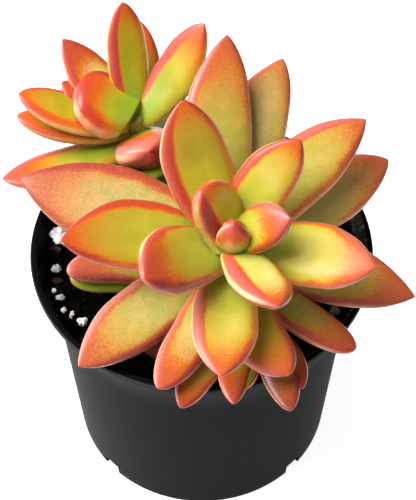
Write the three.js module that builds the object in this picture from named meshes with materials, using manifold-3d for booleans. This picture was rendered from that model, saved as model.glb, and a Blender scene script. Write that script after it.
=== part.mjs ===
// A firestorm sedum in a small round nursery pot: one large rosette that leans forward, a smaller
// rosette behind it on the left and two short side shoots, rooted in dark potting mix with perlite.
// Millimetres, +Z up. The origin is the middle of the pot's underside, and -Y is the front.
import * as THREE from "three";
import { mergeVertices } from "three/addons/utils/BufferGeometryUtils.js";
import Module from "manifold-3d";

const wasm = await Module();
wasm.setup();

// Free space kept between pieces that rest on each other.
const GAP = 0.3;

// Pot: a 3-inch nursery pot, straight and slightly tapered up to a collar that flares to the lip.
const RIM_RADIUS = 38;
const POT_HEIGHT = 62;
const BASE_RADIUS = 30.6;
const SHOULDER_RADIUS = 33.4;
const SHOULDER_HEIGHT = 47;
const COLLAR_RADIUS = 37;
const COLLAR_HEIGHT = 60.6;
const FLARE_SHIFT = 0.5;
const FLARE_RISE = 6;
const FLARE_STEPS = 4;
const LIP_WIDTH = 1.6;
const LIP_HEIGHT = 1.1;
const EDGE_ROUNDING = 0.4;
const WALL = 0.9;
const FLOOR = 1.4;
const POT_SEGMENTS = 48;

// Drainage notches round the foot of the pot.
const NOTCH_ANGLES = [44, 136, 224, 316];
const NOTCH_WIDTH = 4.4;
const NOTCH_HEIGHT = 3.3;
const NOTCH_DEPTH = 1.2;

// Potting mix: fills the pot to just below the collar's top, with a lumpy surface.
const SOIL_LEVEL = 57.3;
const SOIL_EDGE_DROP = 0.6;
const SOIL_EDGE_RADIUS = 34;
const SOIL_SIDE_STOP = 3;
const SOIL_SEGMENTS = 36;
const SOIL_RINGS = 8;
const LUMP_HEIGHT = 0.5;
const LUMP_WAVE_X = 0.43;
const LUMP_WAVE_Y = 0.37;
const CRUMB_HEIGHT = 0.3;
const CRUMB_WAVE_X = 0.9;
const CRUMB_WAVE_Y = 0.7;
const ROOT_LEVEL = 46;

// Leaf: widest a little past the middle, with a low upper face, rounded margins and a keeled lower
// face. A young leaf is shorter and plumper, and is widest nearer its foot.
const LEAF_STATIONS = [0, 0.14, 0.32, 0.52, 0.7, 0.84, 0.94, 0.985];
const LEAF_SIDES = 8;
const WIDEST = 0.52;
const THICKEST = 0.42;
const BASE_WIDTH = 0.4;
const BASE_THICKNESS = 0.5;
const TIP_POWER = 2.2;
const WIDTH_END_POWER = 0.9;
const THICKNESS_END_POWER = 0.8;
const YOUNG_LENGTH = 30;
const YOUNG_RANGE = 16;
const YOUNG_WIDEST_SHIFT = 0.14;
const YOUNG_THICKEST_SHIFT = 0.1;
const YOUNG_BASE_GAIN = 0.4;
const YOUNG_PLUMPNESS = 0.06;
const BLUNT_TIP_GAIN = 0.6;
const BLUNT_END_LOSS = 0.4;
const BLUNT_PLUMPNESS = 0.05;
const SQUARENESS = 0.8;
const UPPER_THICKNESS = 0.17;
const LOWER_THICKNESS = 0.27;
const KEEL_SHARPNESS = 0.4;
const LEAF_SAG = 0.06;
const LEAF_ROOT_SHARE = 0.4;
const STEM_SIDES = 10;

// Points closer together than this are one point of a solid.
const MERGE_DISTANCE = 1e-4;

// One row a leaf: turn about the stem in degrees, lift from square to the stem in degrees, length,
// width, distance of the root below the growing tip, roll about its own length in degrees, sideways
// bow as a share of its length, and bluntness of the tip. Turn 0 is to the right, 90 to the back.
const MAIN_LEAVES = [
  [271, 116, 8.5, 6.8, 1, 0, 0, 0.5],
  [92, 82, 7, 5, 1.5, 0, 0, 0.3],
  [127, 51, 14.5, 12, 2.5, 28, -0.1, 0.5],
  [13, 51, 15.5, 9.5, 2, 0, 0.06, 0.1],
  [298, 46, 23, 12, 3, -30, 0.05, 0],
  [209, 45, 26, 14, 6, 0, -0.06, 0.5],
  [55, 34, 26, 11.5, 7, 0, 0.055, 0.3],
  [111, 31, 31.5, 14, 8, 0, 0.035, 0.3],
  [348, 25, 30, 13.5, 9, 0, 0.04, 0.25],
  [265, 26, 29, 13.5, 10, 0, 0, 0.2],
  [179, 13, 34, 15, 11, 0, -0.07, 0.1],
  [91, 8, 44, 14.5, 13, 0, 0.05, 0.2],
  [44, 8, 38, 14, 13, 0, 0.055, 0.1],
  [243, 14, 32, 9.5, 16, 0, 0.03, 0.7],
  [293, 17, 28.5, 12, 15, 0, -0.07, 0.8],
  [348, -6, 39, 14, 16, 0, 0.04, 0],
  [158, -10, 48, 18.5, 17, 0, -0.03, 0.1],
  [75, 3, 42.5, 15, 17, 0, 0.06, 0.2],
  [32, -4, 39, 14.5, 17, 0, 0.02, 0.3],
  [322, 5, 31.5, 9.5, 18, -30, 0, 0.9],
  [217, 4, 38, 13.5, 18, 0, -0.03, 0.2],
];
const REAR_LEFT_LEAVES = [
  [165, 66, 5, 4, 2.5, 0, 0, 0.5],
  [160, 43, 13.5, 15.5, 2.5, 0, 0.06, 0.9],
  [175, 26, 25, 11, 4, 0, 0, 0.6],
  [176, 16, 25.5, 9, 6, 0, 0, 0.7],
  [141, 48, 22.5, 10.5, 3, 0, 0, 0.15],
  [79, 66, 25.5, 9, 3, 30, 0, 0.5],
  [16, 47, 27.5, 10.5, 4, 30, 0, 0.2],
  [81, 38, 23.5, 9, 6, 0, 0, 0.3],
  [194, 1, 30.5, 12, 9, 0, 0, 0.3],
  [288, 30, 12, 13.5, 9, 0, 0, 0.3],
  [155, 32, 18, 8, 5, 0, 0, 0.5],
  [285, 2, 10.5, 12, 11.5, 0, 0, 0],
  [115, -12, 19, 10, 12, 0, 0, 0.5],
  [62, -10, 20, 10, 12, 0, 0, 0.5],
];
const FRONT_LEAVES = [
  [233, 19, 24.5, 8, 4.5, 0, -0.07, 0.6],
  [259, 25, 20, 7, 4, 0, -0.06, 0.4],
  [263, 29, 17, 7, 6, 0, 0, 0.5],
  [292, 20, 22, 7.5, 3, 0, 0.05, 0.6],
  [194, -2, 22.5, 10, 7, 0, 0, 0.6],
  [305, 22, 19, 6, 4.5, 0, 0.1, 0.7],
  [20, -5, 10, 6, 7, 0, 0, 0.5],
  [145, -5, 10, 6, 7, 0, 0, 0.5],
];
const LOW_LEFT_LEAVES = [
  [0, 25, 4.5, 4, 3, 0, 0, 0.5],
  [120, 15, 4.5, 4, 3, 0, 0, 0.5],
  [188, 38, 17.5, 8, 2, 0, -0.1, 0.9],
  [186, 33, 18, 7.5, 5, 0, -0.04, 1],
  [75, 5, 11, 6, 4, 0, 0, 0.5],
  [270, 0, 10, 6, 4, 0, 0, 0.5],
];

// Shoots: the growing tip, how far the stem leans from upright, the way it leans, the stem's radius
// at the soil, and its leaves.
const SHOOTS = [
  {
    name: "main_shoot",
    tip: [6.3, -19.9, 90],
    lean: 27,
    heading: 272,
    stemRadius: 3.6,
    leaves: MAIN_LEAVES,
    colour: 0xd98a4e,
  },
  {
    name: "rear_left_shoot",
    tip: [-15.3, 19.9, 85],
    lean: 12,
    heading: 150,
    stemRadius: 3,
    leaves: REAR_LEFT_LEAVES,
    colour: 0xcf6a44,
  },
  {
    name: "front_shoot",
    tip: [10.2, -24.6, 70],
    lean: 25,
    heading: 270,
    stemRadius: 2.4,
    leaves: FRONT_LEAVES,
    colour: 0xb5653f,
  },
  {
    name: "low_left_shoot",
    tip: [-11.9, -10.3, 68],
    lean: 25,
    heading: 200,
    stemRadius: 2,
    leaves: LOW_LEFT_LEAVES,
    colour: 0xc58a5a,
  },
];
const STEM_TIP_SHARE = 0.7;
const STEM_TAPER_SHARE = 0.4;
const STEM_STOP_BELOW_TIP = 2;

// Perlite lumps half sunk in the mix: place and radius of each.
const PERLITE = [
  [-31.4, 5.8, 2.5],
  [-30, 9.8, 1.2],
  [-32.4, -2.8, 1.1],
  [-32.6, -8.6, 0.6],
  [-31.1, -10.6, 1],
  [-30.2, -13.9, 0.7],
  [-28, -15.4, 0.9],
  [-25.8, -17.2, 1.1],
  [32.4, 6.2, 1.1],
  [29, -14.6, 1.2],
  [14, 29, 1.6],
  [-4, 31.5, 1.3],
];
const PERLITE_SINK = 0.35;
const PERLITE_SIZE = 0.92;
const PERLITE_WAVE = 0.06;
const PERLITE_FLATNESS = 0.85;

const degrees = THREE.MathUtils.degToRad;

// Closed solid through rings of points, each turning the same way, with both ends closed.
function loft(rings) {
  const count = rings[0].length;
  const positions = [];
  const indices = [];
  for (const ring of rings) {
    for (const point of ring) positions.push(point.x, point.y, point.z);
  }
  for (let i = 0; i + 1 < rings.length; i++) {
    for (let j = 0; j < count; j++) {
      const a = i * count + j;
      const b = i * count + ((j + 1) % count);
      indices.push(a, b, b + count, a, b + count, a + count);
    }
  }
  const addEnd = (ring, start, flip) => {
    const middle = ring.reduce((sum, p) => sum.add(p), new THREE.Vector3()).divideScalar(count);
    const centre = positions.length / 3;
    positions.push(middle.x, middle.y, middle.z);
    for (let j = 0; j < count; j++) {
      const a = start + j;
      const b = start + ((j + 1) % count);
      indices.push(centre, flip ? b : a, flip ? a : b);
    }
  };
  addEnd(rings[0], 0, true);
  addEnd(rings.at(-1), (rings.length - 1) * count, false);
  const geometry = new THREE.BufferGeometry();
  geometry.setAttribute("position", new THREE.Float32BufferAttribute(positions, 3));
  geometry.setIndex(indices);
  return geometry;
}

function toSolid(geometry) {
  const plain = geometry.clone();
  plain.deleteAttribute("normal");
  plain.deleteAttribute("uv");
  const merged = mergeVertices(plain, MERGE_DISTANCE);
  return new wasm.Manifold(
    new wasm.Mesh({
      numProp: 3,
      vertProperties: new Float32Array(merged.attributes.position.array),
      triVerts: new Uint32Array(merged.index.array),
    }),
  );
}

function toGeometry(solid) {
  const mesh = solid.getMesh();
  const geometry = new THREE.BufferGeometry();
  geometry.setAttribute("position", new THREE.BufferAttribute(mesh.vertProperties, 3));
  geometry.setIndex(new THREE.BufferAttribute(mesh.triVerts, 1));
  geometry.computeVertexNormals();
  return geometry;
}

function namedMesh(name, solid, colour, roughness) {
  const material = new THREE.MeshStandardMaterial({ color: colour, roughness, metalness: 0 });
  const mesh = new THREE.Mesh(toGeometry(solid), material);
  mesh.name = name;
  return mesh;
}

// Side of the pot from foot to collar, moved inwards by an offset.
function sideProfile(offset, foot) {
  const points = [new THREE.Vector2(BASE_RADIUS - offset, foot)];
  const flare = new THREE.QuadraticBezierCurve(
    new THREE.Vector2(SHOULDER_RADIUS - offset, SHOULDER_HEIGHT),
    new THREE.Vector2(SHOULDER_RADIUS + FLARE_SHIFT - offset, SHOULDER_HEIGHT + FLARE_RISE),
    new THREE.Vector2(COLLAR_RADIUS - offset, COLLAR_HEIGHT),
  );
  return points.concat(flare.getPoints(FLARE_STEPS));
}

function potSolid() {
  const lipInner = RIM_RADIUS - LIP_WIDTH;
  const lipBottom = POT_HEIGHT - LIP_HEIGHT;
  const profile = [
    new THREE.Vector2(0, 0),
    new THREE.Vector2(BASE_RADIUS - EDGE_ROUNDING, 0),
    ...sideProfile(0, EDGE_ROUNDING),
    new THREE.Vector2(RIM_RADIUS - EDGE_ROUNDING / 2, lipBottom),
    new THREE.Vector2(RIM_RADIUS, lipBottom + EDGE_ROUNDING / 2),
    new THREE.Vector2(RIM_RADIUS, POT_HEIGHT - EDGE_ROUNDING),
    new THREE.Vector2(RIM_RADIUS - EDGE_ROUNDING, POT_HEIGHT),
    new THREE.Vector2(lipInner + EDGE_ROUNDING, POT_HEIGHT),
    new THREE.Vector2(lipInner, POT_HEIGHT - EDGE_ROUNDING),
    ...sideProfile(WALL, FLOOR).reverse(),
    new THREE.Vector2(0, FLOOR),
  ];
  const turned = new THREE.LatheGeometry(profile, POT_SEGMENTS).rotateX(Math.PI / 2);
  let pot = toSolid(turned);
  for (const angle of NOTCH_ANGLES) {
    const notch = new THREE.BoxGeometry(2 * NOTCH_DEPTH, NOTCH_WIDTH, 2 * NOTCH_HEIGHT);
    notch.translate(BASE_RADIUS, 0, 0);
    notch.rotateZ(degrees(angle));
    pot = pot.subtract(toSolid(notch));
  }
  return pot;
}

function soilHeight(x, y) {
  const slope = SOIL_EDGE_DROP * Math.min(1, (x * x + y * y) / RIM_RADIUS ** 2);
  const lumps = LUMP_HEIGHT * Math.sin(LUMP_WAVE_X * x + 1.1) * Math.cos(LUMP_WAVE_Y * y + 0.4);
  const crumbs = CRUMB_HEIGHT * Math.sin(CRUMB_WAVE_X * x - CRUMB_WAVE_Y * y + 2);
  return SOIL_LEVEL - slope + lumps + crumbs;
}

function circle(radius, heightAt) {
  const ring = [];
  for (let j = 0; j < SOIL_SEGMENTS; j++) {
    const angle = (2 * Math.PI * j) / SOIL_SEGMENTS;
    const x = radius * Math.cos(angle);
    const y = radius * Math.sin(angle);
    ring.push(new THREE.Vector3(x, y, heightAt(x, y)));
  }
  return ring;
}

function soilSolid(holes) {
  const side = sideProfile(WALL + GAP, FLOOR + GAP).filter((p) => p.y < SOIL_LEVEL - SOIL_SIDE_STOP);
  const rings = side.map((p) => circle(p.x, () => p.y));
  for (let i = 0; i < SOIL_RINGS; i++) {
    rings.push(circle(SOIL_EDGE_RADIUS * (1 - i / SOIL_RINGS), soilHeight));
  }
  let soil = toSolid(loft(rings));
  for (const hole of holes) soil = soil.subtract(hole);
  return soil;
}

// Directions of a shoot: the stem's axis and two directions square to it.
function shootFrame(shoot) {
  const lean = degrees(shoot.lean);
  const heading = degrees(shoot.heading);
  const axis = new THREE.Vector3(
    Math.sin(lean) * Math.cos(heading),
    Math.sin(lean) * Math.sin(heading),
    Math.cos(lean),
  );
  const right = new THREE.Vector3(1, 0, 0).addScaledVector(axis, -axis.x).normalize();
  const back = new THREE.Vector3().crossVectors(axis, right);
  const rootRadius = LEAF_ROOT_SHARE * shoot.stemRadius;
  return { tip: new THREE.Vector3(...shoot.tip), axis, right, back, rootRadius };
}

// Stem from below the soil to just under the growing tip, thinner where the young leaves crowd.
function stemSolid(shoot, clearance) {
  const { tip, axis, right, back } = shootFrame(shoot);
  const length = (shoot.tip[2] - ROOT_LEVEL) / axis.z;
  const stations = [
    [length + clearance, 1],
    [length * STEM_TAPER_SHARE, 1],
    [STEM_STOP_BELOW_TIP, STEM_TIP_SHARE],
  ];
  const rings = stations.map(([below, share]) => {
    const centre = tip.clone().addScaledVector(axis, -below);
    const radius = shoot.stemRadius * share + clearance;
    const ring = [];
    for (let j = 0; j < STEM_SIDES; j++) {
      const angle = (2 * Math.PI * j) / STEM_SIDES;
      const point = centre.clone().addScaledVector(right, radius * Math.cos(angle));
      ring.push(point.addScaledVector(back, radius * Math.sin(angle)));
    }
    return ring;
  });
  return toSolid(loft(rings));
}

// Share of the full width or thickness at a place along the leaf.
function outline(along, peak, baseShare, tipPower, endPower) {
  const past = Math.max(0, (along - peak) / (1 - peak));
  const before = Math.max(0, (peak - along) / peak);
  const tipShare = (1 - past ** tipPower) ** endPower;
  return tipShare * (baseShare + (1 - baseShare) * (1 - before * before));
}

// Place across the leaf and height over its middle plane, for an angle round its section.
function section(angle, width, plump) {
  const across = Math.abs(Math.cos(angle)) ** SQUARENESS;
  const rise = Math.abs(Math.sin(angle)) ** SQUARENESS;
  const keel = KEEL_SHARPNESS * (1 - across) + (1 - KEEL_SHARPNESS) * rise;
  const upper = width * (UPPER_THICKNESS + plump) * rise;
  const lower = -width * (LOWER_THICKNESS + plump) * keel;
  return { across: Math.sign(Math.cos(angle)) * across, height: Math.sin(angle) >= 0 ? upper : lower };
}

function leafSolid(frame, [turn, lift, length, width, depth, roll, bow, blunt]) {
  const outwards = frame.right.clone().multiplyScalar(Math.cos(degrees(turn)));
  outwards.addScaledVector(frame.back, Math.sin(degrees(turn)));
  const along = outwards.clone().multiplyScalar(Math.cos(degrees(lift)));
  along.addScaledVector(frame.axis, Math.sin(degrees(lift)));
  const face = outwards.clone().multiplyScalar(-Math.sin(degrees(lift)));
  face.addScaledVector(frame.axis, Math.cos(degrees(lift)));
  face.applyAxisAngle(along, degrees(roll));
  const across = new THREE.Vector3().crossVectors(face, along);
  const root = frame.tip.clone().addScaledVector(frame.axis, -depth);
  root.addScaledVector(outwards, frame.rootRadius);

  const centreAt = (t) => {
    const arch = 4 * length * t * (1 - t);
    const centre = root.clone().addScaledVector(along, length * t);
    return centre.addScaledVector(face, -LEAF_SAG * arch).addScaledVector(across, bow * arch);
  };
  const youth = THREE.MathUtils.clamp((YOUNG_LENGTH - length) / YOUNG_RANGE, 0, 1);
  const widest = WIDEST - YOUNG_WIDEST_SHIFT * youth;
  const thickest = THICKEST - YOUNG_THICKEST_SHIFT * youth;
  const baseWidth = BASE_WIDTH + YOUNG_BASE_GAIN * youth;
  const baseThickness = BASE_THICKNESS + YOUNG_BASE_GAIN * youth;
  const tipPower = TIP_POWER + BLUNT_TIP_GAIN * blunt;
  const widthEnd = WIDTH_END_POWER - BLUNT_END_LOSS * blunt;
  const thicknessEnd = THICKNESS_END_POWER - BLUNT_END_LOSS * blunt;
  const plump = YOUNG_PLUMPNESS * youth + BLUNT_PLUMPNESS * blunt;
  const rings = LEAF_STATIONS.map((t) => {
    const centre = centreAt(t);
    const wide = (width / 2) * outline(t, widest, baseWidth, tipPower, widthEnd);
    const thick = outline(t, thickest, baseThickness, tipPower, thicknessEnd);
    const ring = [];
    for (let j = 0; j < LEAF_SIDES; j++) {
      const skin = section((2 * Math.PI * j) / LEAF_SIDES, width, plump);
      const point = centre.clone().addScaledVector(across, wide * skin.across);
      ring.push(point.addScaledVector(face, thick * skin.height));
    }
    return ring;
  });
  const geometry = loft(rings);
  // The far end's middle point becomes the leaf's pointed tip.
  const tipIndex = geometry.attributes.position.count - 1;
  geometry.attributes.position.setXYZ(tipIndex, ...centreAt(1).toArray());
  return toSolid(geometry);
}

function shootSolid(shoot) {
  const frame = shootFrame(shoot);
  const leaves = shoot.leaves.map((leaf) => leafSolid(frame, leaf));
  const fused = wasm.Manifold.union([stemSolid(shoot, 0), ...leaves]);
  // Only the outer skin is kept, so a pocket sealed between leaf roots is filled.
  return fused.decompose().reduce((a, b) => (a.volume() > b.volume() ? a : b));
}

// A lump of perlite: a sphere with its surface pushed in and out.
function perliteSolid([x, y, radius], clearance) {
  const geometry = new THREE.IcosahedronGeometry(radius, 1);
  geometry.deleteAttribute("normal");
  geometry.deleteAttribute("uv");
  const lump = mergeVertices(geometry, MERGE_DISTANCE);
  const points = lump.attributes.position;
  for (let i = 0; i < points.count; i++) {
    const point = new THREE.Vector3().fromBufferAttribute(points, i).divideScalar(radius);
    const wave = Math.sin(5 * point.x + x) + Math.sin(4 * point.y + y) + Math.sin(6 * point.z + x);
    point.multiplyScalar(radius * (PERLITE_SIZE + PERLITE_WAVE * wave) + clearance);
    points.setXYZ(i, point.x, point.y, point.z * PERLITE_FLATNESS);
  }
  lump.translate(x, y, soilHeight(x, y) + PERLITE_SINK * radius);
  return toSolid(lump);
}

const plant = new THREE.Group();
plant.add(namedMesh("pot", potSolid(), 0x2b2b2c, 0.6));

const stemHoles = SHOOTS.map((shoot) => stemSolid(shoot, GAP));
const perliteDents = PERLITE.map((lump) => perliteSolid(lump, GAP));
plant.add(namedMesh("soil", soilSolid([...stemHoles, ...perliteDents]), 0x17120f, 0.95));

for (const shoot of SHOOTS) {
  plant.add(namedMesh(shoot.name, shootSolid(shoot), shoot.colour, 0.45));
}

PERLITE.forEach((lump, i) => {
  const name = "perlite_" + String(i + 1).padStart(2, "0");
  plant.add(namedMesh(name, perliteSolid(lump, 0), 0xe6e4df, 0.8));
});

export default plant;
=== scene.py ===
import math
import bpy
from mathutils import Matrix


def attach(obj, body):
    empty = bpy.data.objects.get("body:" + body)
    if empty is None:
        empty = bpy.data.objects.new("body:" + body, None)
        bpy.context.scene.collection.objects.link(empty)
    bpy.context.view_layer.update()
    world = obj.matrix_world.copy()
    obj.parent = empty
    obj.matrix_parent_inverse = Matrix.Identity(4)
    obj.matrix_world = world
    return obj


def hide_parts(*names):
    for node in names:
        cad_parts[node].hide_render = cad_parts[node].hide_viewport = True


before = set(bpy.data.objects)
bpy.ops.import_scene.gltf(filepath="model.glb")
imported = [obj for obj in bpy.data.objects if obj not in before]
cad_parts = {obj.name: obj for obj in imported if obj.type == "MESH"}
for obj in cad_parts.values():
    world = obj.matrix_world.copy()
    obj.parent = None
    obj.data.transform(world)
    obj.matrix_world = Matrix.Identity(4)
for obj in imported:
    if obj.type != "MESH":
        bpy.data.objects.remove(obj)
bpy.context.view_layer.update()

from types import SimpleNamespace

import bmesh
import bpy
import numpy as np
from mathutils import Matrix, Vector, noise

MM = 0.001
SEED = 7

# Towards the window. The red skin is painted palest on this side as a painted highlight, and deepest on the
# far side as painted shade.
PAINTED_LIGHT_SIDE = (-0.75, 0.1, 0.65)

# Camera, fitted to the photograph: it looks down on the pot from the front.
CAMERA_ELEVATION = math.radians(52.9)
CAMERA_DISTANCE = 380
CAMERA_TARGET = Vector((1.4, 22.3, 31))
CAMERA_LENS = 110.95

# Studio, in metres.
LIGHT_TARGET = Vector((0, 0, 0.07))
WORLD_STRENGTH = 0.21
FLOOR_SIZE = 4
FLOOR_GLOW = 0.85

# Pot, in millimetres, as in the part's source.
RIM_RADIUS = 38
POT_HEIGHT = 62
BASE_RADIUS = 30.6
SHOULDER_RADIUS = 33.4
SHOULDER_HEIGHT = 47
COLLAR_RADIUS = 37
COLLAR_HEIGHT = 60.6
FLARE_SHIFT = 0.5
FLARE_RISE = 6
LIP_WIDTH = 1.6
LIP_HEIGHT = 1.1
EDGE_ROUNDING = 0.4
WALL = 0.9
FLOOR = 1.4
POT_SEGMENTS = 240
SIDE_POINTS = 12
FLARE_POINTS = 14
CORNER_POINTS = 5
FLOOR_RINGS = (0.25, 0.5, 0.75)
SHARP_ANGLE = 50
NOTCH_ANGLES = (44, 136, 224, 316)
NOTCH_WIDTH = 4.4
NOTCH_HEIGHT = 3.3
NOTCH_DEPTH = 1.2

# Where dust lies on the pot, with painted light on the right inner wall, and where the lip's painted
# highlight lies, in metres from its axis, over its foot and to the right. The dust is meant for the inner
# wall, but its reach also takes in a band on the collar's outside.
DUST_AND_LIGHT_REACH = (0.0369, 0.0366)
DUST_AND_LIGHT_HEIGHT = (0.0575, 0.0585)
DUST_AND_LIGHT_RIGHT = (0.0, 0.03)
LIP_HIGHLIGHT_REACH = (0.0376, 0.0379)
LIP_HIGHLIGHT_HEIGHT = (0.0612, 0.0616)

# Potting mix: broad lumps and crumbs as in the part's source, and a rough top.
GAP = 0.3
SOIL_LEVEL = 57.3
SOIL_EDGE_DROP = 0.6
SOIL_EDGE_RADIUS = 34
SOIL_SIDE_STOP = 3
SOIL_SEGMENTS = 220
SOIL_RINGS = 90
LUMP_HEIGHT = 0.5
LUMP_WAVE_X = 0.43
LUMP_WAVE_Y = 0.37
CRUMB_HEIGHT = 0.3
CRUMB_WAVE_X = 0.9
CRUMB_WAVE_Y = 0.7
ROUGH_SCALE = 0.9
ROUGH_HEIGHT = 0.45
ROUGH_SINK = 0.1
ROOT_LEVEL = 46

# Loose grains on the mix.
SCATTER_RADIUS = 33.5
GRAIN_RISE = 0.2
GRAIN_SUBDIVISIONS = 2
GRAIN_TURN = 6.3
GRAIN_TILT = 0.6
GRAIN_STRETCH = (0.7, 1.3)
GRAIN_BUMP = 0.45
GRAIN_BUMP_SCALE = 1.6
NOISE_RANGE = 50

# Leaf: widest a little past the middle, with a low upper face, rounded margins and a keeled lower
# face. A young leaf is shorter and plumper, and is widest nearer its foot.
STATIONS = 48
SIDES = 48
STATION_POWER = 1.8
WIDEST = 0.52
THICKEST = 0.42
BASE_WIDTH = 0.4
BASE_THICKNESS = 0.5
TIP_POWER = 2.2
WIDTH_END_POWER = 0.9
THICKNESS_END_POWER = 0.8
YOUNG_LENGTH = 30
YOUNG_RANGE = 16
YOUNG_WIDEST_SHIFT = 0.14
YOUNG_THICKEST_SHIFT = 0.1
YOUNG_BASE_GAIN = 0.4
BLUNT_TIP_GAIN = 0.6
BLUNT_END_LOSS = 0.4
BLUNT_PLUMPNESS = 0.05
UPPER_THICKNESS = 0.17
LOWER_THICKNESS = 0.27
YOUNG_PLUMPNESS = 0.06
SQUARENESS = 0.8
HOLLOW = 0.03
HOLLOW_REACH = 0.75
HOLLOW_POWER = 1.5
KEEL_SHARPNESS = 0.4
SAG = 0.06
ROOT_SHARE = 0.4

# The margins swing a little in and out, each leaf in its own way.
MARGIN_WAVE = 0.02
MARGIN_WAVE_RATE = 8
MARGIN_SIDE_PHASE = 1.7
MARGIN_RIPPLE = 0.01
MARGIN_RIPPLE_RATE = 21
LEAF_PHASE = 2.4

# How far apart the leaves lie in the noise that colours them.
NOISE_STEP = 13.7

# One row a leaf: turn, lift, length, width, root depth, roll, sideways bow, bluntness, as in the
# part's source.
MAIN_LEAVES = [
    (271, 116, 8.5, 6.8, 1, 0, 0, 0.5),
    (92, 82, 7, 5, 1.5, 0, 0, 0.3),
    (127, 51, 14.5, 12, 2.5, 28, -0.1, 0.5),
    (13, 51, 15.5, 9.5, 2, 0, 0.06, 0.1),
    (298, 46, 23, 12, 3, -30, 0.05, 0),
    (209, 45, 26, 14, 6, 0, -0.06, 0.5),
    (55, 34, 26, 11.5, 7, 0, 0.055, 0.3),
    (111, 31, 31.5, 14, 8, 0, 0.035, 0.3),
    (348, 25, 30, 13.5, 9, 0, 0.04, 0.25),
    (265, 26, 29, 13.5, 10, 0, 0, 0.2),
    (179, 13, 34, 15, 11, 0, -0.07, 0.1),
    (91, 8, 44, 14.5, 13, 0, 0.05, 0.2),
    (44, 8, 38, 14, 13, 0, 0.055, 0.1),
    (243, 14, 32, 9.5, 16, 0, 0.03, 0.7),
    (293, 17, 28.5, 12, 15, 0, -0.07, 0.8),
    (348, -6, 39, 14, 16, 0, 0.04, 0),
    (158, -10, 48, 18.5, 17, 0, -0.03, 0.1),
    (75, 3, 42.5, 15, 17, 0, 0.06, 0.2),
    (32, -4, 39, 14.5, 17, 0, 0.02, 0.3),
    (322, 5, 31.5, 9.5, 18, -30, 0, 0.9),
    (217, 4, 38, 13.5, 18, 0, -0.03, 0.2),
]
REAR_LEFT_LEAVES = [
    (165, 66, 5, 4, 2.5, 0, 0, 0.5),
    (160, 43, 13.5, 15.5, 2.5, 0, 0.06, 0.9),
    (175, 26, 25, 11, 4, 0, 0, 0.6),
    (176, 16, 25.5, 9, 6, 0, 0, 0.7),
    (141, 48, 22.5, 10.5, 3, 0, 0, 0.15),
    (79, 66, 25.5, 9, 3, 30, 0, 0.5),
    (16, 47, 27.5, 10.5, 4, 30, 0, 0.2),
    (81, 38, 23.5, 9, 6, 0, 0, 0.3),
    (194, 1, 30.5, 12, 9, 0, 0, 0.3),
    (288, 30, 12, 13.5, 9, 0, 0, 0.3),
    (155, 32, 18, 8, 5, 0, 0, 0.5),
    (285, 2, 10.5, 12, 11.5, 0, 0, 0),
    (115, -12, 19, 10, 12, 0, 0, 0.5),
    (62, -10, 20, 10, 12, 0, 0, 0.5),
]
FRONT_LEAVES = [
    (233, 19, 24.5, 8, 4.5, 0, -0.07, 0.6),
    (259, 25, 20, 7, 4, 0, -0.06, 0.4),
    (263, 29, 17, 7, 6, 0, 0, 0.5),
    (292, 20, 22, 7.5, 3, 0, 0.05, 0.6),
    (194, -2, 22.5, 10, 7, 0, 0, 0.6),
    (305, 22, 19, 6, 4.5, 0, 0.1, 0.7),
    (20, -5, 10, 6, 7, 0, 0, 0.5),
    (145, -5, 10, 6, 7, 0, 0, 0.5),
]
LOW_LEFT_LEAVES = [
    (0, 25, 4.5, 4, 3, 0, 0, 0.5),
    (120, 15, 4.5, 4, 3, 0, 0, 0.5),
    (188, 38, 17.5, 8, 2, 0, -0.1, 0.9),
    (186, 33, 18, 7.5, 5, 0, -0.04, 1),
    (75, 5, 11, 6, 4, 0, 0, 0.5),
    (270, 0, 10, 6, 4, 0, 0, 0.5),
]

# Colouring of each leaf, in the same order: how yellow its heart is, how far red runs down from the
# tip, how broad the red margins are, how strongly the red is painted pale and pink as a painted
# highlight, how old and tan the skin is, and how far the red keeps to one side: 1 is the left side of a leaf
# that points away.
MAIN_LOOKS = [
    (1, 0.8, 0.2, 0.9, 0, 0),
    (0.9, 0.6, 0.2, 0.7, 0, 0),
    (0.5, 0.4, 1, 0.6, 0, 0.8),
    (0.7, 0.8, 0.7, 0.7, 0, 0),
    (0.9, 0.45, 1, 0.6, 0, -0.5),
    (0.5, 0.6, 0.7, 0.5, 0.1, 0),
    (0.7, 0.35, 0.7, 0.1, 0.1, 0.4),
    (0.4, 0.35, 0.8, 0.4, 0.1, 0.6),
    (0.8, 0.45, 0.5, 0.9, 0.1, 0),
    (0.7, 0.4, 0.7, 0.9, 0.2, -0.5),
    (0.3, 0.4, 0.7, 0.2, 0.15, -0.3),
    (0.15, 0.45, 0.5, 0.5, 0.5, 0.5),
    (0.7, 0.35, 0.9, 0.6, 0.5, 0.5),
    (1, 0.55, 0.9, 1, 0.2, 0.3),
    (0.2, 0.4, 0.8, 1, 0.3, 0),
    (0.7, 0.5, 0.7, 1, 0.6, 0),
    (0, 0.5, 0.7, 0.1, 1, -0.3),
    (1, 0.3, 0.5, 1, 0.8, 0.4),
    (1, 0.4, 0.5, 1, 0.6, 0.3),
    (0.2, 0.5, 0.8, 0.4, 0.5, 0),
    (0.8, 0.45, 0.9, 1, 0.7, 0),
]
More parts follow.
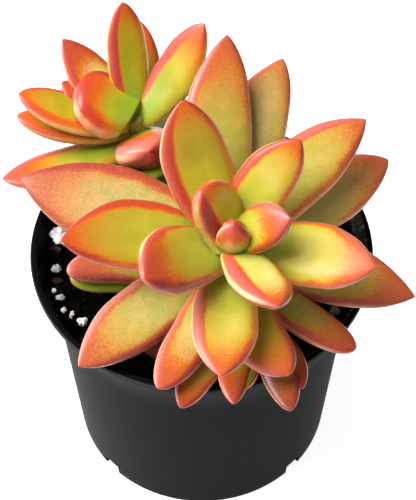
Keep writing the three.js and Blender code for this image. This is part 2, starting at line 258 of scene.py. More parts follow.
REAR_LEFT_LOOKS = [
    (0.3, 0.2, 0.4, 0.2, 0, 0),
    (0.3, 0.75, 1, 0.2, 0, -0.3),
    (0.3, 0.35, 1, 0.4, 0, -0.5),
    (0.4, 0.4, 1, 0.8, 0, -0.5),
    (1, 0.7, 0.6, 0.9, 0, 0.3),
    (0.3, 0.35, 1, 0.9, 0, 1),
    (0.3, 0.5, 1, 0.3, 0, 1),
    (0.3, 0.6, 0.6, 0.1, 0.2, 0.5),
    (0.3, 0.6, 1, 0.6, 0.1, -0.6),
    (0.5, 1, 1, 1, 0.1, 0),
    (0.4, 0.6, 1, 0.3, 0, 0),
    (0, 0, 0, 0, 0, 0),
    (0.3, 0.3, 0.5, 0.2, 0.4, 0),
    (0.3, 0.3, 0.5, 0.2, 0.4, 0),
]
FRONT_LOOKS = [
    (0.1, 0.5, 0.9, 0.1, 0.5, -0.4),
    (0.6, 0.7, 0.7, 0.6, 0.2, 0),
    (0.2, 0.1, 0.6, 0, 0.2, 0),
    (0.1, 0.65, 0.9, 0, 1, 0),
    (0.5, 0.9, 0.6, 1, 0.8, 0),
    (0.2, 0.7, 0.9, 0, 0.6, 0),
    (0.2, 0.2, 0.4, 0.1, 0.2, 0),
    (0.2, 0.2, 0.4, 0.1, 0.2, 0),
]
LOW_LEFT_LOOKS = [
    (0.3, 0.7, 0.8, 0.3, 0, 0),
    (0.3, 0.7, 0.8, 0.3, 0, 0),
    (0.3, 0.9, 1, 1, 0.8, 0),
    (0.1, 0.05, 0.1, 0.3, 0, 0),
    (0.2, 0.2, 0.3, 0.1, 0, 0),
    (0.2, 0.2, 0.3, 0.1, 0, 0),
]
SHOOTS = {
    "main_shoot": dict(
        tip=(6.3, -19.9, 90), lean=27, heading=272, radius=3.6, leaves=MAIN_LEAVES, looks=MAIN_LOOKS
    ),
    "rear_left_shoot": dict(
        tip=(-15.3, 19.9, 85), lean=12, heading=150, radius=3, leaves=REAR_LEFT_LEAVES, looks=REAR_LEFT_LOOKS
    ),
    "front_shoot": dict(
        tip=(10.2, -24.6, 70), lean=25, heading=270, radius=2.4, leaves=FRONT_LEAVES, looks=FRONT_LOOKS
    ),
    "low_left_shoot": dict(
        tip=(-11.9, -10.3, 68), lean=25, heading=200, radius=2, leaves=LOW_LEFT_LEAVES, looks=LOW_LEFT_LOOKS
    ),
}
STEM_RINGS = 60
STEM_SIDES = 32
STEM_TIP_SHARE = 0.7
STEM_TAPER_SHARE = 0.4
STEM_STOP_BELOW_TIP = 2
SCAR_DEPTH = 0.03
SCAR_WAVE = 1.6

# Perlite lumps: place, radius, and how dusty and dark with damp each one is.
PERLITE = [
    (-31.4, 5.8, 2.5, 0),
    (-30, 9.8, 1.2, 0.05),
    (-32.4, -2.8, 1.1, 0.7),
    (-32.6, -8.6, 0.6, 0.2),
    (-31.1, -10.6, 1, 0.55),
    (-30.2, -13.9, 0.7, 0.2),
    (-28, -15.4, 0.9, 0.35),
    (-25.8, -17.2, 1.1, 0.15),
    (32.4, 6.2, 1.1, 0.3),
    (29, -14.6, 1.2, 0.7),
    (14, 29, 1.6, 0.2),
    (-4, 31.5, 1.3, 0.3),
]
PERLITE_SINK = 0.35
PERLITE_SIZE = 0.92
PERLITE_WAVE = 0.06
PERLITE_FLATNESS = 0.85
PERLITE_SUBDIVISIONS = 5
KNOB_HEIGHT = 0.3
KNOB_SCALE = 0.9
SMALL_KNOB_HEIGHT = 0.14
SMALL_KNOB_SCALE = 2.4
PIT_DEPTH = 0.08
PIT_SCALE = 4
PIT_START = 0.25
SPECK_DAMP = 0.3


def new_object(name, points, faces, smooth=True):
    """A mesh object from points in millimetres."""
    mesh = bpy.data.meshes.new(name)
    mesh.from_pydata([tuple(p) for p in np.asarray(points) * MM], [], faces)
    mesh.polygons.foreach_set("use_smooth", [smooth] * len(mesh.polygons))
    piece = bpy.data.objects.new(name, mesh)
    bpy.context.scene.collection.objects.link(piece)
    return piece


def loft_faces(rings, count, start=0):
    """Quads between rings of points and a fan at each end: the middle points follow the rings."""
    faces = []
    for i in range(rings - 1):
        for j in range(count):
            a = start + i * count + j
            b = start + i * count + (j + 1) % count
            faces.append((a, b, b + count, a + count))
    near = start + rings * count
    last = start + (rings - 1) * count
    for j in range(count):
        k = (j + 1) % count
        faces.append((near, start + k, start + j))
        faces.append((near + 1, last + j, last + k))
    return faces


def outline(along, peak, base_share, tip_power, end_power):
    """Share of the full width or thickness at a place along the leaf."""
    past = np.clip((along - peak) / (1 - peak), 0, 1)
    before = np.clip((peak - along) / peak, 0, 1)
    tip_share = (1 - past**tip_power) ** end_power
    return tip_share * (base_share + (1 - base_share) * (1 - before**2))


def shoot_frame(shoot):
    """Growing tip of a shoot, and its directions: up the stem, to the right and to the back."""
    lean = math.radians(shoot["lean"])
    heading = math.radians(shoot["heading"])
    axis = np.array(
        [math.sin(lean) * math.cos(heading), math.sin(lean) * math.sin(heading), math.cos(lean)]
    )
    right = np.array([1.0, 0, 0]) - axis * axis[0]
    right /= np.linalg.norm(right)
    return np.array(shoot["tip"], float), axis, right, np.cross(axis, right)


def section(angle, plump, hollow):
    """Place across the leaf, and height over its middle plane as a share of its width."""
    across = np.sign(np.cos(angle)) * abs(np.cos(angle)) ** SQUARENESS
    rise = abs(np.sin(angle)) ** SQUARENESS
    dip = np.clip(1 - (across / HOLLOW_REACH) ** 2, 0, 1) ** HOLLOW_POWER
    top = (UPPER_THICKNESS + plump) * rise - hollow * dip
    keel = KEEL_SHARPNESS * (1 - abs(across)) + (1 - KEEL_SHARPNESS) * rise
    bottom = -(LOWER_THICKNESS + plump) * keel
    return across, np.where(np.sin(angle) >= 0, top, bottom)


def leaf_points(shoot, number):
    """Points of one leaf with, for each, its place along, across and round the section."""
    tip, axis, right, back = shoot_frame(shoot)
    turn, lift, length, width, depth, roll, bow, blunt = shoot["leaves"][number]
    turn, lift, roll = math.radians(turn), math.radians(lift), math.radians(roll)
    outwards = right * math.cos(turn) + back * math.sin(turn)
    along = outwards * math.cos(lift) + axis * math.sin(lift)
    face = axis * math.cos(lift) - outwards * math.sin(lift)
    face = face * math.cos(roll) + np.cross(along, face) * math.sin(roll)
    side = np.cross(face, along)
    root = tip - axis * depth + outwards * ROOT_SHARE * shoot["radius"]
    youth = min(1, max(0, (YOUNG_LENGTH - length) / YOUNG_RANGE))
    phase = LEAF_PHASE * number + depth

    t = 1 - (1 - np.linspace(0, 1, STATIONS + 1)) ** STATION_POWER
    t = t[:-1, None]
    angle = np.linspace(0, 2 * math.pi, SIDES, endpoint=False)[None, :]
    hollow = HOLLOW * (1 - shoot["looks"][number][4]) * (1 - youth) * np.sin(math.pi * t)
    across, height = section(angle, YOUNG_PLUMPNESS * youth + BLUNT_PLUMPNESS * blunt, hollow)
    rise = np.sin(angle)
    base_width = BASE_WIDTH + YOUNG_BASE_GAIN * youth
    widest = WIDEST - YOUNG_WIDEST_SHIFT * youth
    tip_power = TIP_POWER + BLUNT_TIP_GAIN * blunt
    wide = width / 2 * outline(t, widest, base_width, tip_power, WIDTH_END_POWER - BLUNT_END_LOSS * blunt)
    wobble = MARGIN_WAVE * np.sin(MARGIN_WAVE_RATE * t + phase + MARGIN_SIDE_PHASE * np.sign(across))
    wobble = wobble + MARGIN_RIPPLE * np.sin(MARGIN_RIPPLE_RATE * t + 2 * phase + across)
    wide = wide * (1 + wobble * abs(across))
    base_thickness = BASE_THICKNESS + YOUNG_BASE_GAIN * youth
    thickest = THICKEST - YOUNG_THICKEST_SHIFT * youth
    end_power = THICKNESS_END_POWER - BLUNT_END_LOSS * blunt
    thick = width * outline(t, thickest, base_thickness, tip_power, end_power)
    arch = 4 * length * t * (1 - t)
    points = (
        root
        + along * (length * t)[..., None]
        - face * (SAG * arch)[..., None]
        + side * (bow * arch + wide * across)[..., None]
        + face * (thick * height)[..., None]
    )
    ends = np.array([root, root + along * length])
    points = np.concatenate([points.reshape(-1, 3), ends])

    shape = (len(t), SIDES)
    full = np.broadcast_to
    place = np.stack([full(t, shape), full(across, shape), full(rise, shape)], -1).reshape(-1, 3)
    place = np.concatenate([place, [[0, 0, 0], [1, 0, 0]]])
    flat = np.stack([full(wide * across, shape), full(length * t, shape), 0 * full(t, shape)], -1)
    flat = np.concatenate([flat.reshape(-1, 3), [[0, 0, 0], [0, length, 0]]])
    flat += [0, 0, NOISE_STEP * number]
    return points, place, flat


def add_attribute(piece, name, values):
    """Give each point of a piece three numbers that its material reads."""
    layer = piece.data.attributes.new(name, "FLOAT_VECTOR", "POINT")
    layer.data.foreach_set("vector", np.asarray(values, np.float32).ravel())


def make_leaves(name, shoot):
    points, places, flats, hues, skins, faces = [], [], [], [], [], []
    start = 0
    for number, look in enumerate(shoot["looks"]):
        leaf_xyz, place, flat = leaf_points(shoot, number)
        sun, tip_red, edge_red, pale, age, skew = look
        faces += loft_faces(STATIONS, SIDES, start)
        start += len(leaf_xyz)
        points.append(leaf_xyz)
        places.append(place)
        flats.append(flat)
        hues.append(np.tile([sun, tip_red, edge_red], (len(leaf_xyz), 1)))
        skins.append(np.tile([pale, age, skew], (len(leaf_xyz), 1)))
    piece = new_object(name, np.concatenate(points), faces)
    add_attribute(piece, "leaf_place", np.concatenate(places))
    add_attribute(piece, "leaf_flat", np.concatenate(flats))
    add_attribute(piece, "leaf_hue", np.concatenate(hues))
    add_attribute(piece, "leaf_age", np.concatenate(skins))
    return piece


def make_stem(name, shoot):
    tip, axis, right, back = shoot_frame(shoot)
    length = (shoot["tip"][2] - ROOT_LEVEL) / axis[2]
    points = []
    for share in np.linspace(1, 0, STEM_RINGS):
        below = STEM_STOP_BELOW_TIP + (length - STEM_STOP_BELOW_TIP) * share
        upper = below / (STEM_TAPER_SHARE * length)
        taper = 1 if upper > 1 else STEM_TIP_SHARE + (1 - STEM_TIP_SHARE) * upper
        for angle in np.linspace(0, 2 * math.pi, STEM_SIDES, endpoint=False):
            spoke = right * math.cos(angle) + back * math.sin(angle)
            scar = SCAR_DEPTH * math.sin(SCAR_WAVE * below + 2 * angle) ** 3
            points.append(tip - axis * below + spoke * shoot["radius"] * taper * (1 - SCAR_DEPTH + scar))
    points += [tip - axis * length, tip - axis * STEM_STOP_BELOW_TIP]
    return new_object(name, points, loft_faces(STEM_RINGS, STEM_SIDES))


def side_profile(offset, foot):
    """Side of the pot from foot to collar, moved inwards by an offset."""
    points = [(BASE_RADIUS - offset, foot)]
    for z in np.linspace(foot, SHOULDER_HEIGHT, SIDE_POINTS)[1:-1]:
        share = (z - foot) / (SHOULDER_HEIGHT - foot)
        points.append((BASE_RADIUS + (SHOULDER_RADIUS - BASE_RADIUS) * share - offset, z))
    for t in np.linspace(0, 1, FLARE_POINTS):
        a, b, c = (1 - t) ** 2, 2 * t * (1 - t), t**2
        radius = a * SHOULDER_RADIUS + b * (SHOULDER_RADIUS + FLARE_SHIFT) + c * COLLAR_RADIUS
        height = a * SHOULDER_HEIGHT + b * (SHOULDER_HEIGHT + FLARE_RISE) + c * COLLAR_HEIGHT
        points.append((radius - offset, height))
    return points


def corner(radius, height, turn_from, size=EDGE_ROUNDING):
    """Quarter circle round a corner, starting at an angle in degrees."""
    angles = np.radians(np.linspace(turn_from, turn_from + 90, CORNER_POINTS))
    return [(radius + size * math.cos(a), height + size * math.sin(a)) for a in angles]


def make_pot():
    inner = RIM_RADIUS - LIP_WIDTH
    bottom = POT_HEIGHT - LIP_HEIGHT
    r = EDGE_ROUNDING
    profile = [(BASE_RADIUS * s, 0) for s in FLOOR_RINGS]
    profile += corner(BASE_RADIUS - r, r, -90)[:-1]
    profile += side_profile(0, r)
    profile += corner(RIM_RADIUS - r / 2, bottom + r / 2, -90, r / 2)
    profile += corner(RIM_RADIUS - r, POT_HEIGHT - r, 0)
    profile += corner(inner + r, POT_HEIGHT - r, 90)
    profile += side_profile(WALL, FLOOR)[::-1]
    profile += [(BASE_RADIUS * s, FLOOR) for s in FLOOR_RINGS[::-1]]
    angles = np.linspace(0, 2 * math.pi, POT_SEGMENTS, endpoint=False)
    points = [(x * math.cos(a), x * math.sin(a), z) for x, z in profile for a in angles]
    points += [(0, 0, 0), (0, 0, FLOOR)]
    pot = new_object("pot_body", points, loft_faces(len(profile), POT_SEGMENTS))
    for angle in NOTCH_ANGLES:
        cut = bmesh.new()
        bmesh.ops.create_cube(cut, size=1)
        turn = Matrix.Rotation(math.radians(angle), 4, "Z")
        size = Matrix.Diagonal((2 * NOTCH_DEPTH * MM, NOTCH_WIDTH * MM, 2 * NOTCH_HEIGHT * MM, 1))
        cut.transform(turn @ Matrix.Translation((BASE_RADIUS * MM, 0, 0)) @ size)
        mesh = bpy.data.meshes.new("notch")
        cut.to_mesh(mesh)
        cut.free()
        cutter = bpy.data.objects.new("notch", mesh)
        bpy.context.scene.collection.objects.link(cutter)
        apply_modifier(pot, "BOOLEAN", operation="DIFFERENCE", solver="EXACT", object=cutter)
        bpy.data.objects.remove(cutter)
    apply_modifier(pot, "EDGE_SPLIT", split_angle=math.radians(SHARP_ANGLE))
    return pot


def apply_modifier(piece, kind, **settings):
    modifier = piece.modifiers.new(kind.lower(), kind)
    for key, value in settings.items():
        setattr(modifier, key, value)
    bpy.context.view_layer.objects.active = piece
    bpy.ops.object.modifier_apply(modifier=modifier.name)


def soil_height(x, y):
    """Height of the mix's top, with its broad lumps and crumbs."""
    slope = SOIL_EDGE_DROP * np.minimum(1, (x * x + y * y) / RIM_RADIUS**2)
    lumps = LUMP_HEIGHT * np.sin(LUMP_WAVE_X * x + 1.1) * np.cos(LUMP_WAVE_Y * y + 0.4)
    crumbs = CRUMB_HEIGHT * np.sin(CRUMB_WAVE_X * x - CRUMB_WAVE_Y * y + 2)
    return SOIL_LEVEL - slope + lumps + crumbs


def make_soil():
    """The mix fills the pot, and its top is rough on the scale of its grains."""
    angles = np.linspace(0, 2 * math.pi, SOIL_SEGMENTS, endpoint=False)
    wall = [p for p in side_profile(WALL + GAP, FLOOR + GAP) if p[1] < SOIL_LEVEL - SOIL_SIDE_STOP]
    points = [(x * math.cos(a), x * math.sin(a), z) for x, z in wall for a in angles]
    for i in range(SOIL_RINGS):
        radius = SOIL_EDGE_RADIUS * (1 - i / SOIL_RINGS)
        for a in angles:
            x, y = radius * math.cos(a), radius * math.sin(a)
            rough = noise.fractal(Vector((x, y, 0)) * ROUGH_SCALE, 0.7, 2.1, 5)
            points.append((x, y, soil_height(x, y) + ROUGH_HEIGHT * rough - ROUGH_SINK))
    points += [(0, 0, FLOOR + GAP), (0, 0, soil_height(0, 0))]
    return new_object("potting_mix", points, loft_faces(len(wall) + SOIL_RINGS, SOIL_SEGMENTS))


def ball(subdivisions):
    """Points and faces of a ball of triangles, with a radius of 1."""
    shape = bmesh.new()
    bmesh.ops.create_icosphere(shape, subdivisions=subdivisions, radius=1)
    points = [vertex.co.copy() for vertex in shape.verts]
    faces = [[v.index for v in face.verts] for face in shape.faces]
    shape.free()
    return points, faces


def grain(rng, place, size, stretch):
    """Points and faces of one angular grain."""
    turn = Matrix.Rotation(rng.uniform(0, GRAIN_TURN), 3, "Z")
    turn = turn @ Matrix.Rotation(rng.uniform(-GRAIN_TILT, GRAIN_TILT), 3, "X")
    offset = Vector(rng.uniform(-NOISE_RANGE, NOISE_RANGE, 3))
    corners, faces = ball(GRAIN_SUBDIVISIONS)
    points = []
    for corner_point in corners:
        bump = 1 + GRAIN_BUMP * noise.noise(corner_point * GRAIN_BUMP_SCALE + offset)
        point = Vector([c * s for c, s in zip(corner_point * bump, stretch)])
        points.append(np.array(turn @ point) * size + place)
    return points, faces


def scatter(name, rng, count, size, stretch):
    """Loose grains, strewn over the mix at random, as one piece."""
    points, faces = [], []
    for _ in range(count):
        radius = math.sqrt(rng.uniform(0, SCATTER_RADIUS**2))
        angle = rng.uniform(0, 2 * math.pi)
        x, y = radius * math.cos(angle), radius * math.sin(angle)
        grain_size = rng.uniform(*size)
        place = np.array([x, y, soil_height(x, y) + GRAIN_RISE * grain_size])
        scale = [s * rng.uniform(*GRAIN_STRETCH) for s in stretch]
        more, triangles = grain(rng, place, grain_size, scale)
        faces += [[i + len(points) for i in face] for face in triangles]
        points += more
    return new_object(name, points, faces, smooth=False)


def make_perlite(name, lump):
    """One lump of perlite, with knobs and pits."""
    x, y, radius, _ = lump
    centre = np.array([x, y, soil_height(x, y) + PERLITE_SINK * radius])
    corners, faces = ball(PERLITE_SUBDIVISIONS)
    points = []
    for p in corners:
        p = p.normalized()
        wave = math.sin(5 * p.x + x) + math.sin(4 * p.y + y) + math.sin(6 * p.z + x)
        where = p * radius + Vector((x, y, 0))
        knobs = KNOB_HEIGHT * noise.noise(where * KNOB_SCALE)
        knobs += SMALL_KNOB_HEIGHT * noise.noise(where * SMALL_KNOB_SCALE)
        pits = -PIT_DEPTH * max(0, noise.noise(where * PIT_SCALE) - PIT_START)
        p = p * radius * (PERLITE_SIZE + PERLITE_WAVE * wave + knobs + pits)
        points.append(centre + np.array([p.x, p.y, p.z * PERLITE_FLATNESS]))
    return new_object(name, points, faces)


def srgb(text):
    """Linear colour from a hex triple."""
    values = [int(text[i : i + 2], 16) / 255 for i in (0, 2, 4)]
    return tuple(v / 12.92 if v <= 0.04045 else ((v + 0.055) / 1.055) ** 2.4 for v in values) + (1,)


class Nodes:
    """A material and short ways to add nodes to it."""

    def __init__(self, name):
        self.material = bpy.data.materials.new(name)
        self.material.use_nodes = True
        self.tree = self.material.node_tree
        self.shader = self.tree.nodes["Principled BSDF"]

    def add(self, kind, inputs=(), **settings):
        node = self.tree.nodes.new(kind)
        for key, value in settings.items():
            setattr(node, key, value)
        for key, value in dict(inputs).items():
            self.feed(node, key, value)
        return node

    def feed(self, node, key, value):
        socket = node.inputs[key]
        if isinstance(value, bpy.types.NodeSocket):
            self.tree.links.new(value, socket)
        else:
            socket.default_value = value

    def math(self, operation, a, b=0.0, c=0.0, clamp=False):
        node = self.add("ShaderNodeMath", {0: a, 1: b, 2: c}, operation=operation, use_clamp=clamp)
        return node.outputs[0]

    def times(self, a, b):
        return self.math("MULTIPLY", a, b)

    def plus(self, a, b, clamp=False):
        return self.math("ADD", a, b, clamp=clamp)

    def scaled(self, a, factor, offset):
        return self.math("MULTIPLY_ADD", a, factor, offset)

    def inverse(self, a):
        return self.math("SUBTRACT", 1.0, a)

    def smooth(self, value, low, high):
        """0 at low, 1 at high, and a soft step between them."""
        node = self.add(
            "ShaderNodeMapRange",
            {"Value": value, "From Min": low, "From Max": high},
            interpolation_type="SMOOTHSTEP",
        )
        return node.outputs[0]

    def mix(self, factor, a, b):
        node = self.add("ShaderNodeMix", data_type="RGBA", clamp_factor=True)
        self.feed(node, 0, factor)
        self.feed(node, 6, a)
        self.feed(node, 7, b)
        return node.outputs[2]

    def tint(self, colour, amount, text):
        """A colour, mixed with a hex triple by an amount."""
        return self.mix(amount, colour, srgb(text))

    def noise(self, vector, scale, detail=3, rough=0.5):
        node = self.add(
            "ShaderNodeTexNoise",
            {"Vector": vector, "Scale": scale, "Detail": detail, "Roughness": rough},
        )
        return node.outputs["Fac"]

    def attribute(self, name):
        """A vector attribute and its three parts."""
        vector = self.add("ShaderNodeAttribute", attribute_name=name).outputs["Vector"]
        return vector, self.add("ShaderNodeSeparateXYZ", {0: vector}).outputs

    def bump(self, height, strength, distance):
        node = self.add("ShaderNodeBump", {"Strength": strength, "Distance": distance, "Height": height})
        self.feed(self.shader, "Normal", node.outputs[0])

    def set(self, **values):
        for key, value in values.items():
            self.shader.inputs[key.replace("_", " ")].default_value = value


def leaf_fields(n):
    """What a leaf's colour depends on: the place on it, its looks, noises and the way it faces, which places
    its painted highlight and painted shade.
    """
    f = SimpleNamespace()
    _, (f.along, f.across, f.rise) = n.attribute("leaf_place")
    f.flat, _ = n.attribute("leaf_flat")
    _, (f.sun, f.tip_red, f.edge_red) = n.attribute("leaf_hue")
    _, (f.pale, f.age, f.skew) = n.attribute("leaf_age")

    stretch = n.add("ShaderNodeMapping", {"Vector": f.flat, "Scale": (1, 0.22, 1)}).outputs[0]
    f.blotch = n.math("SUBTRACT", n.noise(f.flat, 0.16, 3), 0.5)
    f.streak = n.math("SUBTRACT", n.noise(stretch, 1.6, 4, 0.6), 0.5)
    f.fine = n.noise(f.flat, 9, 3, 0.6)
    f.mottle = n.math("SUBTRACT", n.noise(f.flat, 2.4, 3, 0.8), 0.5)

    f.edge = n.math("ABSOLUTE", f.across)
    f.lean = n.times(f.skew, f.across)
    f.border = n.plus(f.edge, n.plus(n.times(f.blotch, 0.25), n.times(f.streak, 0.12)))
    f.border = n.plus(f.border, n.times(n.math("MAXIMUM", f.lean, 0.0), 0.5))

    # Painted light: how far each point faces the window decides where its painted highlight and painted
    # shade lie.
    f.facing = n.add("ShaderNodeTexCoord").outputs["Normal"]
    towards = n.add("ShaderNodeVectorMath", {0: f.facing, 1: PAINTED_LIGHT_SIDE}, operation="DOT_PRODUCT")
    f.sunward = towards.outputs["Value"]
    f.sunny = n.smooth(f.sunward, 0.35, 0.95)
    return f


def leaf_red(n, f):
    """How red the skin is, and how far a young leaf's flank is pale."""
    # Red runs down from the tip and further down along the ridges beside the margins.
    reach = n.plus(f.along, n.times(n.math("POWER", f.edge, 2.5), 0.16))
    reach = n.plus(reach, n.plus(n.times(f.blotch, 0.22), n.times(f.streak, 0.1)))
    tip = n.smooth(reach, n.scaled(f.tip_red, -1.0, 1.0), n.scaled(f.tip_red, -0.25, 1.4))
    # It also follows the margins, and where a leaf is skewed it keeps to one of them.
    margin = n.smooth(f.border, n.scaled(f.edge_red, -0.4, 0.95), n.scaled(f.edge_red, -0.12, 1.02))
    sided = n.math("MULTIPLY_ADD", f.lean, 1.2, 1.0, clamp=True)
    margin = n.times(n.times(margin, n.smooth(f.along, -0.05, 0.4)), n.times(f.edge_red, sided))
    red = n.inverse(n.times(n.inverse(tip), n.inverse(margin)))
    # Outside the ridge the flank of a young leaf turns pale yellow green again.
    flank = n.times(n.smooth(f.rise, 0.62, 0.2), n.smooth(f.rise, -0.6, -0.2))
    lopsided = n.scaled(n.smooth(n.math("ABSOLUTE", f.skew), 0.4, 1.0), 0.8, 0.2)
    flank = n.times(n.times(flank, n.smooth(f.age, 0.15, 0.0)), lopsided)
    red = n.times(red, n.inverse(n.times(flank, n.scaled(tip, -0.5, 0.95))))
    # The red fades out in fine dots.
    spread = n.times(n.smooth(red, 0.0, 0.3), n.scaled(f.age, 0.6, 0.6))
    return n.plus(red, n.times(f.mottle, spread), clamp=True), flank


def leaf_heart(n, f, flank):
    """The colour under the red: lime at the foot, then yellow to golden, and tan on an old leaf."""
    ripe = n.plus(f.sun, n.times(f.blotch, 0.7))
    gold = n.mix(n.smooth(ripe, 0.0, 0.8), srgb("9c9600"), srgb("ccc634"))
    lime = n.mix(n.smooth(ripe, 0.0, 0.8), srgb("869e10"), srgb("b0c84a"))
    midway = n.smooth(n.plus(f.along, n.times(f.blotch, 0.4)), 0.12, 0.5)
    midway = n.times(midway, n.smooth(f.tip_red, 0.0, 0.2))
    heart = n.mix(midway, lime, gold)
    # A ripe leaf pales in the middle.
    middle = n.times(n.smooth(f.along, 0.12, 0.4), n.smooth(f.edge, 0.9, 0.3))
    heart = n.tint(heart, n.times(n.smooth(ripe, 0.6, 1.1), middle), "f2e68c")
    cloud = n.smooth(n.noise(f.flat, 0.45, 4, 0.6), 0.4, 0.62)
    tan = n.mix(n.math("MULTIPLY_ADD", f.streak, 0.6, cloud), srgb("9c9c58"), srgb("c0a264"))
    aged = n.times(n.times(f.age, 0.85), n.scaled(n.smooth(f.along, 0.0, 0.5), 0.5, 0.5))
    heart = n.mix(aged, heart, tan)
    # It warms towards the tip and the margins.
    warm = n.times(n.smooth(f.along, 0.45, 1.0), n.smooth(f.tip_red, 0.1, 0.4))
    heart = n.tint(heart, n.times(warm, 0.5), "d8741c")
    near = n.times(n.smooth(f.border, 0.2, 0.9), n.smooth(f.edge_red, 0.1, 0.7))
    heart = n.tint(heart, n.times(near, 0.3), "c48a10")
    return n.tint(heart, n.times(flank, 0.6), "ccd05a")


def leaf_painted_light(n, f, red, colour):
    """Painted highlight and painted shade: the red is painted paler and pinker towards the window, and
    deeper on the far side.
    """
    ripened = n.smooth(red, 0.3, 0.95)
    # Painted highlight: pale pink over the red, strongest on the side towards the window.
    painted_highlight = n.times(n.times(f.pale, ripened), n.scaled(f.sunny, 0.45, 0.18))
    colour = n.tint(colour, painted_highlight, "f4988a")
    # Painted shade: deep red-brown near the margins on the side away from the window.
    painted_shade = n.times(n.times(ripened, n.smooth(f.sunward, 0.5, -0.1)), n.smooth(f.edge, 0.3, 0.8))
    colour = n.tint(colour, n.times(painted_shade, 0.7), "7c1c06")
    # A thin pale line runs along the very margin as a painted highlight, brightest towards the window.
    margin_highlight = n.times(n.smooth(f.edge, 0.95, 0.995), n.smooth(f.along, 0.98, 0.8))
    return n.tint(colour, n.times(margin_highlight, n.scaled(f.sunny, 0.5, 0.2)), "f2dc9c")


def leaf_grain(n, f, colour):
    """Freckles and pale and dark grain, strongest on old leaves, and painted shade on a lower face that
    faces downwards.
    """
    freckle = n.smooth(n.noise(f.flat, 3.2, 2, 0.6), 0.56, 0.7)
    colour = n.tint(colour, n.times(freckle, n.scaled(f.age, 0.3, 0.05)), "a8402a")
    grey = n.smooth(n.noise(f.flat, 2.6, 4, 0.85), 0.54, 0.68)
    colour = n.tint(colour, n.times(grey, n.scaled(f.age, 0.26, 0.04)), "f0dcb8")
    dark = n.smooth(n.noise(f.flat, 2.2, 4, 0.85), 0.46, 0.34)
    colour = n.tint(colour, n.times(dark, n.scaled(f.age, 0.35, 0.07)), "7c4010")
    # Painted shade: the lower face is painted darker where it faces downwards.
    upward = n.add("ShaderNodeSeparateXYZ", {0: f.facing}).outputs[2]
    under = n.times(n.smooth(f.rise, 0.0, -0.4), n.smooth(upward, 0.3, -0.3))
    return n.tint(colour, n.times(under, 0.6), "5c4c10")


def leaf_material():
    n = Nodes("leaf_skin")
    f = leaf_fields(n)
    red, flank = leaf_red(n, f)
    orange = n.mix(f.age, srgb("d6640c"), srgb("c06830"))
    scarlet = n.mix(f.age, srgb("b4240e"), srgb("9c3020"))
    colour = n.mix(n.smooth(red, 0.0, 0.5), leaf_heart(n, f, flank), orange)
    colour = n.mix(n.smooth(red, 0.25, 0.95), colour, scarlet)
    colour = leaf_painted_light(n, f, red, colour)
    n.feed(n.shader, "Base Color", leaf_grain(n, f, colour))
    n.feed(n.shader, "Roughness", n.scaled(f.fine, 0.16, 0.28))
    n.set(Subsurface_Weight=0.12, Subsurface_Scale=0.0018, Subsurface_Radius=(1.0, 0.45, 0.15))
    n.set(Specular_IOR_Level=0.5, Sheen_Weight=0.02, Sheen_Roughness=0.4)
    n.bump(n.plus(f.fine, n.times(f.streak, 1.2)), 0.14, 0.0003)
    return n.material


def stem_material():
    n = Nodes("stem_skin")
    where = n.add("ShaderNodeTexCoord").outputs["Object"]
    blotch = n.noise(where, 260, 4)
    colour = n.mix(n.smooth(blotch, 0.35, 0.65), srgb("7f8f3c"), srgb("9a9a50"))
    n.feed(n.shader, "Base Color", colour)
    n.set(Roughness=0.55, Subsurface_Weight=0.08, Subsurface_Scale=0.001)
    n.bump(blotch, 0.3, 0.0004)
    return n.material


def pot_material():
    n = Nodes("pot_plastic")
    where = n.add("ShaderNodeTexCoord").outputs["Object"]
    grit = n.noise(where, 1400, 4, 0.65)
    cloud = n.noise(where, 45, 3)
    colour = n.mix(cloud, srgb("0a0a0a"), srgb("0d0d0e"))
    dust = n.smooth(n.noise(where, 900, 3, 0.75), 0.55, 0.65)
    x, y, z = n.add("ShaderNodeSeparateXYZ", {0: where}).outputs
    reach = n.math("SQRT", n.plus(n.times(x, x), n.times(y, y)))
    dust_and_painted_light = n.times(n.smooth(reach, *DUST_AND_LIGHT_REACH), n.smooth(z, *DUST_AND_LIGHT_HEIGHT))
    dust_and_painted_light = n.times(dust_and_painted_light, n.smooth(x, *DUST_AND_LIGHT_RIGHT))
    # An even lighter tint on the right inner wall, partly dust and partly painted light falling on that
    # wall; speckled dust lies over it.
    colour = n.tint(colour, n.times(dust_and_painted_light, 0.5), "4c4a48")
    colour = n.tint(colour, n.times(n.times(dust, dust_and_painted_light), 0.9), "8b8884")
    # The lip's outer edge is painted a little lighter, as a painted highlight.
    lip_highlight = n.times(n.smooth(reach, *LIP_HIGHLIGHT_REACH), n.smooth(z, *LIP_HIGHLIGHT_HEIGHT))
    colour = n.tint(colour, n.times(lip_highlight, 0.8), "3a3a3a")
    n.feed(n.shader, "Base Color", colour)
    n.feed(n.shader, "Roughness", n.scaled(grit, 0.12, 0.5))
    n.set(Specular_IOR_Level=0.03)
    n.bump(grit, 0.08, 0.0002)
    return n.material


def soil_material(name, dark, light):
    n = Nodes(name)
    where = n.add("ShaderNodeTexCoord").outputs["Object"]
    clumps = n.noise(where, 700, 5, 0.7)
    colour = n.mix(n.smooth(clumps, 0.45, 0.75), srgb(dark), srgb(light))
    specks = n.smooth(n.noise(where, 2600, 2, 0.5), 0.7, 0.76)
    colour = n.tint(colour, n.times(specks, 0.35), "8a8073")
    n.feed(n.shader, "Base Color", colour)
    n.set(Roughness=0.9, Specular_IOR_Level=0.03)
    n.bump(n.noise(where, 1600, 5, 0.75), 0.7, 0.0006)
    return n.material


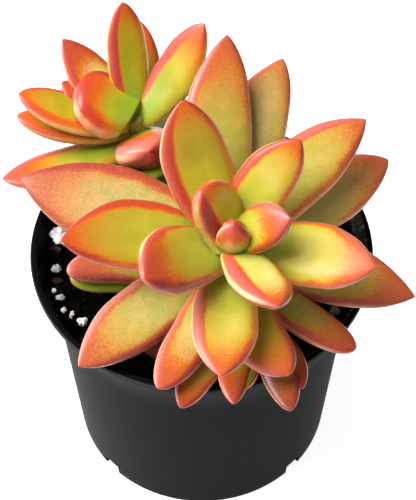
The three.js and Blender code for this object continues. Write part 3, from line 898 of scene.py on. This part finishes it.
def perlite_material():
    n = Nodes("perlite_grain")
    where = n.add("ShaderNodeTexCoord").outputs["Object"]
    _, (damp, _, _) = n.attribute("damp")
    pits = n.noise(where, 1500, 4, 0.7)
    clean = n.mix(n.smooth(pits, 0.3, 0.55), srgb("b9b6b0"), srgb("f2f1ee"))
    soiled = n.mix(n.smooth(pits, 0.35, 0.7), srgb("3b3937"), srgb("8d8a86"))
    n.feed(n.shader, "Base Color", n.mix(damp, clean, soiled))
    n.set(Roughness=0.85, Specular_IOR_Level=0.3)
    n.bump(pits, 0.5, 0.0005)
    return n.material


def floor_material():
    n = Nodes("floor_paint")
    n.set(Base_Color=srgb("f4f4f4"), Roughness=0.9)
    n.set(Emission_Color=(1, 1, 1, 1), Emission_Strength=FLOOR_GLOW)
    return n.material


def settle(piece, material, slot, *nodes):
    """Give a piece its material and body, and hide the nodes that it replaces. The slot is not used."""
    piece.data.materials.append(material)
    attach(piece, "root")
    if nodes:
        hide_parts(*nodes)


def make_camera():
    data = bpy.data.cameras.new("camera")
    data.lens = CAMERA_LENS
    camera = bpy.data.objects.new("camera", data)
    bpy.context.scene.collection.objects.link(camera)
    back = Vector((0, -math.cos(CAMERA_ELEVATION), math.sin(CAMERA_ELEVATION)))
    camera.location = (CAMERA_TARGET + back * CAMERA_DISTANCE) * MM
    camera.rotation_euler = back.to_track_quat("Z", "Y").to_euler()
    bpy.context.scene.camera = camera


def area_light(name, place, size, power, diffuse, gloss):
    """A square light that gives diffuse light, reflections or both. Sizes are in metres."""
    data = bpy.data.lights.new(name, "AREA")
    data.size = size
    data.energy = power
    light = bpy.data.objects.new(name, data)
    bpy.context.scene.collection.objects.link(light)
    light.location = place
    light.rotation_euler = (Vector(place) - LIGHT_TARGET).to_track_quat("Z", "Y").to_euler()
    light.visible_diffuse = diffuse
    light.visible_glossy = gloss


def make_world():
    world = bpy.data.worlds.new("studio")
    world.use_nodes = True
    background = world.node_tree.nodes["Background"].inputs
    background["Color"].default_value = (1, 1, 1, 1)
    background["Strength"].default_value = WORLD_STRENGTH
    bpy.context.scene.world = world


def make_floor():
    bpy.ops.mesh.primitive_plane_add(size=FLOOR_SIZE, location=(0, 0, 0))
    floor = bpy.context.object
    floor.name = "floor"
    floor.data.materials.append(floor_material())


make_camera()
leaf_skin = leaf_material()
stem_skin = stem_material()
for node, shoot in SHOOTS.items():
    base = node.replace("_shoot", "")
    settle(make_leaves(base + "_leaves", shoot), leaf_skin, "leaf", node)
    settle(make_stem(base + "_stem", shoot), stem_skin, "leaf")

settle(make_pot(), pot_material(), "pot_plastic", "pot")

rng = np.random.default_rng(SEED)
mix = soil_material("potting_mix", "020202", "0c0908")
settle(make_soil(), mix, "potting_mix", "soil")
crumb_skin = soil_material("mix_crumbs", "040303", "1c1512")
crumbs = scatter("mix_crumbs", rng, count=700, size=(0.35, 1.1), stretch=(1.2, 0.9, 0.7))
settle(crumbs, crumb_skin, "potting_mix")
bark_skin = soil_material("bark_chips", "2a1a14", "5a3d33")
bark = scatter("bark_chips", rng, count=60, size=(0.6, 1.3), stretch=(1.5, 0.8, 0.35))
settle(bark, bark_skin, "potting_mix")

grain_skin = perlite_material()
for number, lump in enumerate(PERLITE, 1):
    piece = make_perlite(f"grain_{number:02d}", lump)
    add_attribute(piece, "damp", np.tile([lump[3], 0, 0], (len(piece.data.vertices), 1)))
    settle(piece, grain_skin, "perlite", f"perlite_{number:02d}")
specks = scatter("perlite_specks", rng, count=60, size=(0.2, 0.45), stretch=(1.1, 0.9, 0.8))
add_attribute(specks, "damp", np.tile([SPECK_DAMP, 0, 0], (len(specks.data.vertices), 1)))
settle(specks, grain_skin, "perlite")

make_floor()
# One light gives the diffuse light and the other the reflections.
area_light("key", place=(-0.48, 0, 0.85), size=0.7, power=17, diffuse=True, gloss=False)
area_light("window", place=(-0.8, 0.05, 0.62), size=0.35, power=14, diffuse=False, gloss=True)
make_world()
bpy.context.scene.view_settings.view_transform = "Standard"
